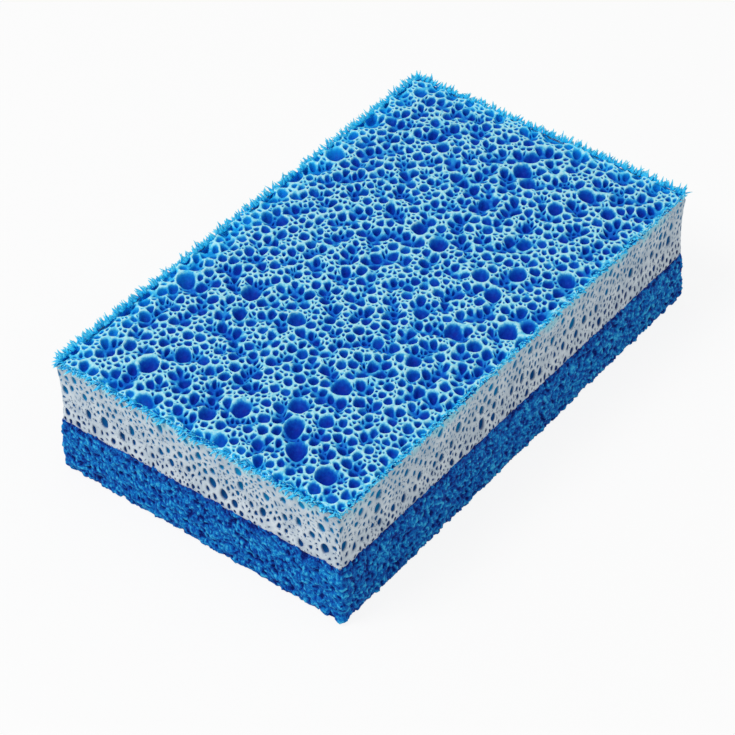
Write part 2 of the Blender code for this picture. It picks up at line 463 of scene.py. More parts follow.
def scatter_net(rng):
    """Bubbles over the squashed outline. Those that fall outside the block are left out."""
    low = np.min(SQUASHED_OUTLINE, axis=0)
    high = np.max(SQUASHED_OUTLINE, axis=0)
    spare = (high - low).prod() * GRAIN_STRETCH / NET_SIZE.prod()
    kinds = [(round(count * spare), small, large) for count, small, large in NET_BUBBLES]
    sizes = mixed_sizes(rng, *kinds)
    kept = []
    for u, v, radius in scatter_bubbles(rng, *(high - low), sizes, NET_SQUEEZE, False):
        place = along_grain((u + low[0], v + low[1]), GRAIN_STRETCH)
        if (place > 0).all() and (place < NET_SIZE).all():
            kept.append((u + low[0], v + low[1], radius))
    return kept


def split_into_nests(rng, bubbles):
    """Splits some large bubbles into a few that share one bowl. Gives all the bubbles and the bowls."""
    kept, bowls = [], []
    for u, v, radius in bubbles:
        if radius < NEST_SMALLEST or rng.random() > NEST_SHARE:
            kept.append((u, v, radius))
            continue
        count = rng.randint(*NEST_COUNT)
        turn = rng.uniform(0, 2 * math.pi)
        for k in range(count):
            angle = turn + 2 * math.pi * (k + rng.uniform(-NEST_UNEVENNESS, NEST_UNEVENNESS)) / count
            away = NEST_OFFSET * radius
            place = (u + away * math.cos(angle), v + away * math.sin(angle))
            kept.append((*place, radius * rng.uniform(*NEST_SIZES)))
        bowls.append((u, v, NEST_REACH * radius))
    return kept, bowls


net_dice = random.Random(21)
net_bubbles, net_bowls = split_into_nests(net_dice, scatter_net(net_dice))
print("net bubbles:", len(net_bubbles), "shared bowls:", len(net_bowls))

# %% [markdown]
# ## Over the edge
# The net bends over the block's top edge. So the flat plan is laid on the block and its border is bent
# down like a cloth over the edge of a table. Near the edge a glow is painted into the colour, for light
# that comes through the foam, so every point also gets a number that says how near the edge it is.

# %% Roll the net over the edge
NET_TUCK = 0.35 * MM
EDGE_DEPTH = 0.25
NET_TOP = net_high.z - 0.45 * MM
# How far in from each side the painted glow reaches.
EDGE_GLOW = {"left": 4.5 * MM, "right": 5 * MM, "front": 3 * MM, "back": 7 * MM}


def roll_over(u, v, height):
    """Lays flat points over the block's top edge. Gives places and how much painted glow each takes, from 0
    to 1.
    """
    x = u - LENGTH / 2 - NET_BORDER
    y = v - WIDTH / 2 - NET_BORDER
    near_x = np.clip(x, -(LENGTH / 2 - CORNER_RADIUS), LENGTH / 2 - CORNER_RADIUS)
    near_y = np.clip(y, -(WIDTH / 2 - CORNER_RADIUS), WIDTH / 2 - CORNER_RADIUS)
    away = np.hypot(x - near_x, y - near_y)
    out_x = np.divide(x - near_x, away, out=np.zeros_like(x), where=away > 0)
    out_y = np.divide(y - near_y, away, out=np.zeros_like(y), where=away > 0)
    flat = CORNER_RADIUS - NET_ROLL
    past = np.maximum(away - flat, 0)
    angle = np.minimum(past / NET_ROLL, math.pi / 2)
    reach = NET_ROLL - NET_TUCK * np.sin(angle) + EDGE_DEPTH * height
    out = np.minimum(away, flat) + reach * np.sin(angle)
    down = NET_ROLL * (1 - np.cos(angle)) + np.maximum(past - NET_ROLL * math.pi / 2, 0)
    z = NET_TOP - down + height * np.cos(angle)
    glow = np.max([
        1 - (LENGTH / 2 + x) / EDGE_GLOW["left"],
        1 - (LENGTH / 2 - x) / EDGE_GLOW["right"],
        1 - (WIDTH / 2 + y) / EDGE_GLOW["front"],
        1 - (WIDTH / 2 - y) / EDGE_GLOW["back"],
    ], axis=0)
    return np.stack([near_x + out_x * out, near_y + out_y * out, z], axis=1), np.clip(glow, 0, 1)


print("top of the net in mm:", round(NET_TOP / MM, 2))

# %% [markdown]
# ## Struts and bowls
# A flat pattern would look printed. Some struts are lower than others, so their heights follow a slow
# noise, and those inside a nest are lowest. Each bowl has its own depth, and its rings go from the rim of
# the strut down the wall to the floor. A small pore does without the middle ring. Lower struts and
# larger bowls carry more painted shade.

# %% Sink the bowls
NET_PIECES = 3
ROOM_FOR_SQUARE = 1.5
HALF_STRUT = 0.075 * MM
STRUT_DROP = 1.4 * MM
DROP_SPREAD = 3.0 * MM
DROP_CONTRAST = 2.2
DROP_START = 0.1
FINE_DROP = 0.15
DROP_SHADE = 0.5
NEST_LOW = 0.9
NEST_STEEPNESS = 2.2
RIM_SCALE = 0.7, 0.95
PORE_ROUNDNESS = 0.5
CORNER_REACH = 1.12
BOWL_DEPTH = 0.35 * MM
DEPTH_FOR_SIZE = 0.95
DEPTH_SPREAD = 0.7, 1.25
DEEPEST = 2.6 * MM
FLOOR_SHADE = 0.42, 0.78
SHADE_FOR_SIZE = 0.16
SMALL_PORE = 0.5 * MM
# Each ring's size, its share of the depth and its share of the floor's painted shade.
NET_RINGS = (1, 0.07, 0.2), (0.88, 0.5, 0.7), (0.5, 1.0, 1.0)


def net_start(u, v, edge):
    """A square round an inner bubble, or the whole outline for one near the border."""
    place = along_grain((u, v), GRAIN_STRETCH)
    room = ROOM_FOR_SQUARE * edge * GRAIN_STRETCH
    if (place > room).all() and (place < NET_SIZE - room).all():
        return [(u - edge, v - edge), (u + edge, v - edge), (u + edge, v + edge), (u - edge, v + edge)]
    return SQUASHED_OUTLINE


def lowered_in_bowls(corners, bowls):
    """How low each corner lies, from 0 to NEST_LOW, for the webs inside a shared bowl."""
    lowered = np.zeros(len(corners))
    for u, v, radius in bowls:
        away = np.hypot(corners[:, 0] - u, corners[:, 1] - v) / radius
        lowered = np.maximum(lowered, np.clip(NEST_STEEPNESS * (1 - away), 0, NEST_LOW))
    return lowered


def strut_data(corner, lowered):
    """Height and painted shade of a corner where struts meet: the lower it lies, the darker."""
    u, v = corner
    slow = noise.noise(Vector((u / DROP_SPREAD, v / DROP_SPREAD, 0)))
    fine = noise.noise(Vector((u / HALF_STRUT, v / HALF_STRUT, 5)))
    low = max(lowered, min(1, max(0, slow * DROP_CONTRAST - DROP_START))) + FINE_DROP * max(0, fine)
    return -STRUT_DROP * low, DROP_SHADE * low


def net_rings(outline, data, number):
    """The rim of the strut, the wall and the floor of one cell."""
    rng = random.Random(number)
    centre, spokes, lengths, inner = measure_cell(outline)
    rim = min(RIM_SCALE[1], max(RIM_SCALE[0], 1 - HALF_STRUT / max(inner, HALF_STRUT)))
    rounded = PORE_ROUNDNESS * np.minimum(1, CORNER_REACH * inner / lengths)
    pulled = spokes * (1 - PORE_ROUNDNESS + rounded)[:, None]
    heights = np.array([row[0] for row in data])
    shades = np.array([row[1] for row in data])
    size = math.sqrt(inner * lengths.mean())
    depth = min(DEEPEST, (BOWL_DEPTH + DEPTH_FOR_SIZE * size) * rng.uniform(*DEPTH_SPREAD))
    floor = max(-DEEPEST, heights.mean() - depth)
    # Painted shade on the bowl's floor, darker for a larger pore.
    dark = min(1, shades.mean() + rng.uniform(*FLOOR_SHADE) + SHADE_FOR_SIZE * size / MM)
    rings = NET_RINGS
    if size < SMALL_PORE:
        rings = NET_RINGS[0], NET_RINGS[2]
    for scale, sink, shade in rings:
        ring = centre + pulled * (rim * scale)
        deep = heights * (1 - sink) + floor * sink
        colour = shades * (1 - shade) + dark * shade
        yield [(*ring[k], deep[k], colour[k]) for k in range(len(ring))]


def make_net(bubbles, bowls):
    corners, cells = weld_cells(press_cells(bubbles, net_start))
    lowered = lowered_in_bowls(corners, bowls)
    corners = along_grain(corners, GRAIN_STRETCH)
    data = [strut_data(*corner) for corner in zip(corners.tolist(), lowered.tolist())]
    made = []
    for piece, part in enumerate(split_cells(corners, cells, data, NET_PIECES, NET_SIZE[0])):
        points, faces = cell_rings(*part, net_rings)
        places, glow = roll_over(points[:, 0], points[:, 1], points[:, 2])
        made.append(foam_sheet(f"net_{piece + 1}", places, faces, points[:, 3], glow))
    print("net cells:", len(cells), "triangles:", [triangles(m) for m in made])
    return made


net_pieces = make_net(net_bubbles, net_bowls)

# %% [markdown]
# ## The torn edge
# Where the knife left the block, cell walls tore and stand up as small pointed flaps. Each flap is a small
# leaf with a broad foot and a narrow tip that leans outwards. Nearly two thousand of them in one mesh make
# the ragged outline, and no two have the same size or lean. On the front they are shorter.

# %% Shape one flap
FLAP_LENGTH = 0.9 * MM, 2.1 * MM
FRONT_FACING = -0.5
FRONT_SHARE = 0.5
FLAP_WIDTH = 0.5 * MM, 1.1 * MM
FLAP_LIFT_DEGREES = -15, 65
FLAP_LEAN = 0.5
FLAP_BEND = 0.3
FLAP_POINT = 0.7
FLAP_THICKNESS = 0.11 * MM
FLAP_THINNING = 0.6
FLAP_TIP = 0.05 * MM
FLAP_STEPS = 3
FLAP_SIDES = 5


def leaf(rng, foot, out, along):
    """Rings of one flap. It grows from foot, out points off the block and along follows its edge."""
    length = rng.uniform(*FLAP_LENGTH)
    if out.y < FRONT_FACING:
        length *= FRONT_SHARE
    width = rng.uniform(*FLAP_WIDTH)
    lift = math.radians(rng.uniform(*FLAP_LIFT_DEGREES))
    lean = rng.uniform(-FLAP_LEAN, FLAP_LEAN)
    grow = (out * math.cos(lift) + Vector((0, 0, math.sin(lift))) + along * lean).normalized()
    sideways = rng.uniform(-FLAP_BEND, FLAP_BEND)
    bend = along * sideways + Vector((0, 0, rng.uniform(-FLAP_BEND, FLAP_BEND)))
    flat = grow.cross(along).normalized()
    side = flat.cross(grow).normalized()
    rings = []
    for step in range(FLAP_STEPS + 1):
        share = step / FLAP_STEPS
        middle = foot + grow * (length * share) + bend * (length * share**2)
        half = width * (1 - share) ** FLAP_POINT / 2 + FLAP_TIP
        thick = FLAP_THICKNESS * (1 - FLAP_THINNING * share)
        for k in range(FLAP_SIDES):
            angle = 2 * math.pi * k / FLAP_SIDES
            rings.append(middle + side * (half * math.cos(angle)) + flat * (thick * math.sin(angle)))
    return rings


print("points in one flap:", (FLAP_STEPS + 1) * FLAP_SIDES)

# %% Grow the torn flaps
FLAP_COUNT = 1900
FLAP_JITTER = 0.35 * MM
FOOT_DEGREES = -5, 75
FOOT_INSET = 0.5 * MM
FOOT_SINK = 0.35 * MM
# The flaps are painted darker at the foot, as painted shade, and paler towards the tip, as painted glow.
FOOT_SHADE = 0.42
SHADE_FALL = 0.3
TIP_SHADE = 0.04


def flap_foot(rng, x, y, out):
    """Where a flap starts: a little inside the net's rolled edge."""
    angle = math.radians(rng.uniform(*FOOT_DEGREES))
    inwards = NET_ROLL * (1 - math.sin(angle)) + FOOT_INSET
    return Vector((x, y, NET_TOP - NET_ROLL * (1 - math.cos(angle)) - FOOT_SINK)) - out * inwards


def make_flaps():
    rng = random.Random(4)
    places, faces, shades = [], [], []
    walked = np.linspace(0, AROUND, FLAP_COUNT, endpoint=False)
    walked += [rng.uniform(-FLAP_JITTER, FLAP_JITTER) for _ in walked]
    for x, y, out_x, out_y in zip(*(row.tolist() for row in edge_of_block(walked))):
        out = Vector((out_x, out_y, 0))
        along = Vector((-out_y, out_x, 0))
        start = len(places)
        places.extend(tuple(p) for p in leaf(rng, flap_foot(rng, x, y, out), out, along))
        for step in range(FLAP_STEPS):
            first = [start + step * FLAP_SIDES + k for k in range(FLAP_SIDES)]
            faces.extend(ring_faces(first, [index + FLAP_SIDES for index in first]))
            shades.extend([FOOT_SHADE - SHADE_FALL * step / FLAP_STEPS] * FLAP_SIDES)
        shades.extend([TIP_SHADE] * FLAP_SIDES)
        faces.append(tuple(reversed(range(start, start + FLAP_SIDES))))
        faces.append(tuple(range(len(places) - FLAP_SIDES, len(places))))
    data = bpy.data.meshes.new("torn_edge")
    data.from_pydata(places, [], faces)
    put_values(data, "shade", shades)
    # Every flap takes the net's painted glow in full.
    put_values(data, "edge", [1.0] * len(places))
    data.shade_smooth()
    made = new_object("torn_edge", data)
    print("flaps:", FLAP_COUNT, "triangles:", triangles(made))
    return made


torn_edge = make_flaps()

# %% [markdown]
# ## The white core
# The core's cut sides are a skin with round holes of many sizes. The same cells serve again, but here the
# strip goes right round the block, the skin between the holes stays flat, and the rim of each hole is
# creased so that it stays crisp. The sides are drawn in at the waist, where the foam was squeezed.

# %% Wrap the core's sides
CORE_WAIST = 0.5 * MM
CORE_INSET = 0.08 * MM
CORE_RISE = 1.0 * MM
CORE_SINK = 0.55 * MM
CORE_LIP = 0.35 * MM
LIP_SHARE = 0.035
BOND_RAGGED = 0.4 * MM
TOP_RAGGED = 0.3 * MM
RAGGED_SPREAD = 1.3 * MM
FINER_STRENGTH = 0.5
FINER_SPREAD = 2.3
CORE_STRETCH = 1.35
BOND_MIDDLE = sum(BOND_CORNERS.values()) / len(BOND_CORNERS)
CORE_STRIP = (core_high.z + CORE_RISE - BOND_MIDDLE) / CORE_STRETCH


def ragged(x, y, seed):
    """A wavering about 0 along an edge."""
    place = Vector((x / RAGGED_SPREAD, y / RAGGED_SPREAD, seed))
    return noise.noise(place) + FINER_STRENGTH * noise.noise(FINER_SPREAD * place)


def bond_line(x, y):
    return bond_height(x, y) + BOND_RAGGED * ragged(x, y, 1)


def core_top_line(x, y):
    return core_high.z + CORE_RISE + TOP_RAGGED * ragged(x, y, 2)


def core_side(u, v, height):
    """Wraps the strip round the core, with its waist and with both its edges drawn in."""
    x, y, out_x, out_y = edge_of_block(u)
    share = v / CORE_STRIP
    lip = np.clip((share - 1 + LIP_SHARE) / LIP_SHARE, 0, 1) + np.clip(1 - share / LIP_SHARE, 0, 1)
    inset = CORE_INSET + CORE_WAIST * (1 - (2 * share - 1) ** 2) + CORE_LIP * lip**2 - height
    low = np.array([bond_line(*place) - CORE_SINK for place in zip(x, y)])
    high = np.array([core_top_line(*place) for place in zip(x, y)])
    return np.stack([x - out_x * inset, y - out_y * inset, low + share * (high - low)], axis=1)


print("core strip in mm:", round(AROUND / MM, 1), "by", round(CORE_STRIP / MM, 1))

# %% Cut the core's holes
CORE_BUBBLES = (240, 0.72 * MM, 1.15 * MM), (480, 0.3 * MM, 0.52 * MM), (1500, 0.16 * MM, 0.24 * MM)
CORE_SQUEEZE = 1.15
CORE_PIECES = 2
HOLE_FILL = 0.75, 1.0
HOLE_SQUASH = 0.75, 1
HOLE_DEPTH = 0.5, 0.9
SMALL_HOLE = 0.4 * MM
# Each ring's size, its share of the depth, its painted shade and its crease.
CORE_RINGS = (1, 0, 0.25, 0.85), (0.93, 0.5, 1, 0), (0.6, 1, 1, 0)


def core_start(u, v, edge):
    return [(u - edge, 0), (u + edge, 0), (u + edge, CORE_STRIP), (u - edge, CORE_STRIP)]


def core_rings(outline, data, number):
    """The creased rim of one hole, its wall and its floor."""
    rng = random.Random(number)
    centre, spokes, lengths, inner = measure_cell(outline)
    radius = inner * rng.uniform(*HOLE_FILL)
    round_spokes = spokes * (CORNER_REACH * radius / lengths)[:, None] * (rng.uniform(*HOLE_SQUASH), 1)
    depth = radius * rng.uniform(*HOLE_DEPTH)
    rings = CORE_RINGS
    if radius < SMALL_HOLE:
        rings = CORE_RINGS[0], CORE_RINGS[2]
    for scale, sink, shade, crease in rings:
        ring = centre + round_spokes * scale
        yield [(*place, -depth * sink, shade, crease) for place in ring]


def make_core():
    rng = random.Random(8)
    sizes = mixed_sizes(rng, *CORE_BUBBLES)
    bubbles = scatter_bubbles(rng, AROUND, CORE_STRIP, sizes, CORE_SQUEEZE, True)
    corners, cells = weld_cells(press_cells(bubbles, core_start, AROUND), AROUND)
    data = [(0.0, 0.0, 0.0)] * len(corners)
    made = []
    for piece, part in enumerate(split_cells(corners, cells, data, CORE_PIECES, AROUND)):
        points, faces = cell_rings(*part, core_rings, AROUND)
        places = core_side(points[:, 0], points[:, 1], points[:, 2])
        made.append(foam_sheet(f"core_skin_{piece + 1}", places, faces, points[:, 3], crease=points[:, 4]))
    print("core bubbles:", len(bubbles), "cells:", len(cells), "triangles:", [triangles(m) for m in made])
    return made


core_pieces = make_core()

# %% [markdown]
# ## The dense base
# The base is a much finer foam, too fine to model cell by cell. Its look is a rough crust: small ridges,
# dark pits and a ragged foot. So a fine grid is wrapped down the side, round the rolled edge and a little
# way under it, and noise pushes its points in and out. The underside inside that hem is filled with
# scattered points, because a grid would not fit a rounded outline.

# %% Shape the crust
BASE_PITCH = 0.39 * MM
BASE_ROLL = 1.3 * MM
BASE_BULGE = 0.45 * MM
BASE_TUCK = 0.35 * MM
BASE_HEM = 3 * MM
BOND_TEETH = 0.5 * MM
# Height and size of the lumps and of the grain, depth and spacing of the pits.
BASE_LUMP = 0.5 * MM, 1.9 * MM
BASE_GRAIN = 0.4 * MM, 0.66 * MM
BASE_PIT = 0.9 * MM, 1.35 * MM
GRAIN_SHIFT = Vector((7, 3, 1))
PATCH_SHIFT = Vector((1, 9, 4))
PATCH_SPREAD = 2.2
PATCH_CONTRAST = 1.5
PATCH_SHARE = 0.75
PIT_RADIUS = 0.44
# The crust's painted shade: lighter on the ridges of the grain, a painted highlight, and darker in the pits.
CRUST_SHADE = 0.42
RIDGE_SHADE = 0.85
PIT_SHADE = 1.7
# A band of painted shade just below the crust's top edge, at the bond with the core.
DARK_TOP = 2.2 * MM
TOP_SHADE = 0.3


def crust(place):
    """How far the crust stands out at a place, in metres, and its painted shade: light on ridges, dark in
    pits.
    """
    lump = BASE_LUMP[0] * noise.noise(place / BASE_LUMP[1])
    grain = BASE_GRAIN[0] * noise.noise(place / BASE_GRAIN[1] + GRAIN_SHIFT)
    nearest = noise.voronoi(place / BASE_PIT[1])[0][0]
    patch = noise.noise(place / (PATCH_SPREAD * BASE_PIT[1]) + PATCH_SHIFT) * PATCH_CONTRAST + PATCH_SHARE
    pit = max(0, 1 - nearest / PIT_RADIUS) * min(1, max(0, patch))
    shade = CRUST_SHADE - RIDGE_SHADE * grain / BASE_GRAIN[0] + PIT_SHADE * pit
    return lump + grain - BASE_PIT[0] * pit, shade


def base_top_line(x, y):
    """The torn upper edge of the base's side, which follows the bond with teeth of its own."""
    return bond_line(x, y) + BOND_TEETH * ragged(2 * x, 2 * y, 3)


def base_side():
    """Rows of places and outward directions down the side, round the roll and under it."""
    walked = np.linspace(0, AROUND, round(AROUND / BASE_PITCH), endpoint=False)
    x, y, out_x, out_y = edge_of_block(walked)
    top = np.array([base_top_line(*place) for place in zip(x, y)])
    arc = BASE_ROLL * math.pi / 2
    straight = float(top.mean()) - BASE_ROLL
    reach = straight + arc + BASE_HEM
    rows = []
    for gone in np.linspace(0, reach, round(reach / BASE_PITCH)):
        side = min(1, gone / straight)
        angle = min(max(gone - straight, 0) / BASE_ROLL, math.pi / 2)
        under = max(0, gone - straight - arc)
        z = top + (BASE_ROLL - top) * side - BASE_ROLL * math.sin(angle)
        tucked = BASE_TUCK * max(0, 1 - gone / BASE_TUCK / 2) - BASE_BULGE * math.sin(math.pi / 2 * side)
        inset = tucked + BASE_ROLL * (1 - math.cos(angle)) + under
        row_x = x * (1 - 2 * inset / LENGTH)
        row_y = y * (1 - 2 * inset / WIDTH)
        level = math.cos(angle)
        # Painted shade in a band below the bond.
        dark = TOP_SHADE * max(0, 1 - gone / DARK_TOP)
        rows.append((row_x, row_y, z, out_x * level, out_y * level, -math.sin(angle), dark))
    return rows


def wrap_crust():
    """The crust's places and shades, row by row from its top to its hem, and the points in a row."""
    places, shades = [], []
    for x, y, z, out_x, out_y, out_z, dark in base_side():
        for k in range(len(x)):
            place = Vector((x[k], y[k], z[k]))
            rise, shade = crust(place)
            pushed = place + Vector((out_x[k], out_y[k], out_z)) * rise
            pushed.z = max(pushed.z, 0)
            places.append(pushed)
            shades.append(shade + dark)
    return places, shades, len(x)


crust_places, crust_shades, crust_count = wrap_crust()
print("crust rows:", len(crust_places) // crust_count, "of", crust_count, "points")

# %% Fill the sole and make the base
SOLE_PITCH = 0.95 * MM
SOLE_JITTER = 0.3
FILL_INSIDE = 1
MERGE_DISTANCE = 1e-7


def scatter_sole(rim):
    """Places inside the hem, on a jittered grid."""
    rng = random.Random(6)
    half_x = max(p.x for p in rim) - SOLE_PITCH
    half_y = max(p.y for p in rim) - SOLE_PITCH
    inner = []
    for column in range(round(2 * half_x / SOLE_PITCH) + 1):
        for level in range(round(2 * half_y / SOLE_PITCH) + 1):
            jitter = Vector([rng.uniform(-SOLE_JITTER, SOLE_JITTER) for _ in range(2)])
            step = Vector((column, level)) + jitter
            inner.append(Vector((step.x * SOLE_PITCH - half_x, step.y * SOLE_PITCH - half_y)))
    return inner


def close_sole(places, shades, hem):
    """Adds the underside's places and shades inside the hem. Gives its faces."""
    rim = [places[index].xy for index in hem]
    edges = [(k, (k + 1) % len(hem)) for k in range(len(hem))]
    filled = delaunay_2d_cdt(rim + scatter_sole(rim), edges, [], FILL_INSIDE, MERGE_DISTANCE)
    flat, _, fill, origin, _, _ = filled
    number = {}
    for index, sources in enumerate(origin):
        known = [source for source in sources if source < len(hem)]
        if known:
            number[index] = hem[known[0]]
            continue
        place = Vector((*flat[index], 0))
        rise, shade = crust(place)
        number[index] = len(places)
        places.append(Vector((place.x, place.y, max(0, BASE_LUMP[0] / 2 - rise))))
        shades.append(shade)
    return [tuple(number[index] for index in reversed(face)) for face in fill]


def make_base(places, shades, count):
    hem = list(range(len(places) - count, len(places)))
    faces = []
    for start in range(0, hem[0], count):
        first = list(range(start, start + count))
        faces.extend(ring_faces(first, [index + count for index in first]))
    faces.append(tuple(reversed(range(count))))
    faces.extend(close_sole(places, shades, hem))
    data = bpy.data.meshes.new("base_crust")
    data.from_pydata(places, [], faces)
    put_values(data, "shade", shades)
    data.shade_smooth()
    made = new_object("base_crust", data)
    print("base triangles:", triangles(made))
    return made


base_crust = make_base(crust_places, crust_shades, crust_count)

# %% [markdown]
# ## Nodes by name
# A material is a tree of nodes, and wiring one up by hand takes many lines. A small helper adds a node and
# fills or links its inputs in one call. Each effect below is then a line or two.

# %% Add nodes by name
def feed(tree, socket, value):
    """Gives a socket its value, or a link if the value is another socket."""
    if isinstance(value, bpy.types.NodeSocket):
        tree.links.new(value, socket)
    else:
        socket.default_value = value


def add_node(tree, kind, settings=None, **inputs):
    """Adds a node. An input is named, with underscores for spaces, or numbered, such as i0."""
    made = tree.nodes.new(kind)
    for name, value in (settings or {}).items():
        setattr(made, name, value)
    for name, value in inputs.items():
        by_number = name[0] == "i" and name[1:].isdigit()
        feed(tree, made.inputs[int(name[1:]) if by_number else name.replace("_", " ")], value)
    return made


def arithmetic(tree, operation, first, second, clamp=False):
    settings = {"operation": operation, "use_clamp": clamp}
    return add_node(tree, "ShaderNodeMath", settings, i0=first, i1=second).outputs[0]


def smooth_share(tree, value, zero_at, full_at, most=1.0):
    """Rises smoothly from 0 to most while the value goes from zero_at to full_at."""
    made = add_node(
        tree, "ShaderNodeMapRange", {"interpolation_type": "SMOOTHSTEP"},
        Value=value, From_Min=zero_at, From_Max=full_at, To_Min=0.0, To_Max=most,
    )
    return made.outputs["Result"]


def object_place(tree):
    return add_node(tree, "ShaderNodeTexCoord").outputs["Object"]


print("node helpers:", [helper.__name__ for helper in (add_node, arithmetic, smooth_share, object_place)])

# %% [markdown]
# ## Foam grain and pinholes
# All three foams have a fine grain that catches the light, and two have pinholes too small to model. More
# than one material uses each of these effects, so each is a node group with named sockets, built once and
# placed in a material with that foam's own scale.

# %% Build the shared node groups
PINHOLE_FLOOR = 0.06


def new_group(name, sockets_in, sockets_out):
    group = bpy.data.node_groups.new(name, "ShaderNodeTree")
    for title, value in sockets_in:
        socket = group.interface.new_socket(title, in_out="INPUT", socket_type="NodeSocketFloat")
        socket.default_value = value
    for title in sockets_out:
        group.interface.new_socket(title, in_out="OUTPUT", socket_type="NodeSocketFloat")
    return group, group.nodes.new("NodeGroupInput"), group.nodes.new("NodeGroupOutput")


def foam_grain_group():
    """Grain height and a soft mottle, both from 3D noise in object space."""
    sockets_in = [("Grain Scale", 3000), ("Mottle Scale", 400)]
    group, given, result = new_group("foam grain", sockets_in, ["Height", "Mottle"])
    place = object_place(group)
    for scale, detail, output in (("Grain Scale", 3.0, "Height"), ("Mottle Scale", 2.0, "Mottle")):
        cloud = add_node(
            group, "ShaderNodeTexNoise", None, Vector=place, Scale=given.outputs[scale], Detail=detail
        )
        group.links.new(cloud.outputs["Fac"], result.inputs[output])
    return group


def pinhole_group():
    """A mask that is 1 in small round holes, of which some are missing."""
    sockets_in = [("Scale", 1500), ("Size", 0.25), ("Share", 0.5)]
    group, given, result = new_group("pinholes", sockets_in, ["Mask"])
    cells = add_node(
        group, "ShaderNodeTexVoronoi", None, Vector=object_place(group), Scale=given.outputs["Scale"]
    )
    hole = smooth_share(group, cells.outputs["Distance"], given.outputs["Size"], PINHOLE_FLOOR)
    pick = add_node(group, "ShaderNodeSeparateColor", None, Color=cells.outputs["Color"])
    chosen = arithmetic(group, "LESS_THAN", pick.outputs["Red"], given.outputs["Share"])
    group.links.new(arithmetic(group, "MULTIPLY", hole, chosen), result.inputs["Mask"])
    return group


foam_grain = foam_grain_group()
pinholes = pinhole_group()
print("node groups:", foam_grain.name, "and", pinholes.name)

# %% [markdown]
# ## Colour from shade
# Every point carries a painted shade, and a colour ramp turns it into the foam's colours, from the skin to
# the deepest hole. All three foams are matt, so they share one low specular level, set on the shader itself.
# The soft mottle of the grain shifts the shade a little up and down, so that no area is even.

# %% Prepare the tools for the materials
FOAM_SPECULAR = 0.08


def from_hex(text):
    """A linear colour from the six digits that a colour picker shows."""
    parts = [int(text[k:k + 2], 16) / 255 for k in (0, 2, 4)]
    return tuple(p / 12.92 if p <= 0.04045 else ((p + 0.055) / 1.055) ** 2.4 for p in parts) + (1,)


def ramp(tree, value, stops):
    made = add_node(tree, "ShaderNodeValToRGB", None, Fac=value)
    points = made.color_ramp.elements
    while len(points) < len(stops):
        points.new(0.5)
    for point, (place, colour) in zip(points, stops):
        point.position = place
        point.color = from_hex(colour)
    return made.outputs["Color"]


def new_material(name, roughness):
    made = bpy.data.materials.new(name)
    made.use_nodes = True
    shader = made.node_tree.nodes["Principled BSDF"]
    shader.inputs["Roughness"].default_value = roughness
    shader.inputs["Specular IOR Level"].default_value = FOAM_SPECULAR
    return made, made.node_tree, shader


def use_group(tree, group, **inputs):
    return add_node(tree, "ShaderNodeGroup", {"node_tree": group}, **inputs)


def read_value(tree, name):
    return add_node(tree, "ShaderNodeAttribute", {"attribute_name": name}).outputs["Fac"]


def mix_colours(tree, share, first, second):
    """A colour mix. The colour sockets of this node are its seventh and eighth inputs."""
    mix = add_node(tree, "ShaderNodeMix", {"data_type": "RGBA"}, i0=share, i6=first, i7=second)
    return mix.outputs[2]


def mottled(tree, value, grain, strength, clamp=True):
    """Shifts a value up and down by the grain's mottle."""
    wobble = arithmetic(tree, "SUBTRACT", grain.outputs["Mottle"], 0.5)
    return arithmetic(tree, "ADD", value, arithmetic(tree, "MULTIPLY", wobble, strength), clamp)


def finish_foam(tree, shader, colour, grain, strength, distance):
    """Links the colour, and a bump from the grain's height."""
    tree.links.new(colour, shader.inputs["Base Color"])
    height = grain.outputs["Height"]
    bump = add_node(tree, "ShaderNodeBump", None, Height=height, Strength=strength, Distance=distance)
    tree.links.new(bump.outputs["Normal"], shader.inputs["Normal"])


print("white of the core's skin, linear:", [round(part, 2) for part in from_hex("DEE8EE")])

# %% [markdown]
# ## The net's blue foam
# The struts of the net are painted pale where they catch the light, a painted highlight, and the pores are
# painted from bright blue to navy with depth, as painted shade. Light that passes through the edge of the
# block makes it glow cyan, so a second ramp of brighter blues paints that glow in towards the edge.

# %% Mix the net's foam
NET_MOTTLE = 0.6
GLOW_CURVE = 1.1
# From the painted highlight on the struts to the painted shade deep in the pores.
NET_COLOURS = [
    (0.0, "B0E6F0"), (0.12, "7CD2EA"), (0.26, "2A9ADC"), (0.48, "0A66CC"), (0.75, "0446B8"), (1.0, "022CA0"),
]
# The painted glow near the edge.
GLOW_COLOURS = [
    (0.0, "B4F0FC"), (0.15, "5AD8FA"), (0.4, "18B8F8"), (0.7, "0898EC"), (1.0, "0470D8"),
]


def net_material():
    made, tree, shader = new_material("blue_net_foam", roughness=0.6)
    grain = use_group(tree, foam_grain, Grain_Scale=2600.0, Mottle_Scale=1250.0)
    shade = mottled(tree, read_value(tree, "shade"), grain, NET_MOTTLE)
    glow = arithmetic(tree, "POWER", read_value(tree, "edge"), GLOW_CURVE)
    colour = mix_colours(tree, glow, ramp(tree, shade, NET_COLOURS), ramp(tree, shade, GLOW_COLOURS))
    finish_foam(tree, shader, colour, grain, strength=0.35, distance=0.1 * MM)
    return made


net_foam = net_material()
print("material:", net_foam.name)

# %% [markdown]
# ## The core's white foam
# The core is white, and its holes are painted blue inside as painted shade: dark low down and brighter
# near the net, so the colour inside a hole follows its height. The skin also takes a pale cyan tint
# along the top, near the net. The smallest pinholes are dark dots from the shared group.

# %% Mix the core's foam
PINHOLE_COLOUR = "3C5C80"
PINHOLE_DARK = 0.85
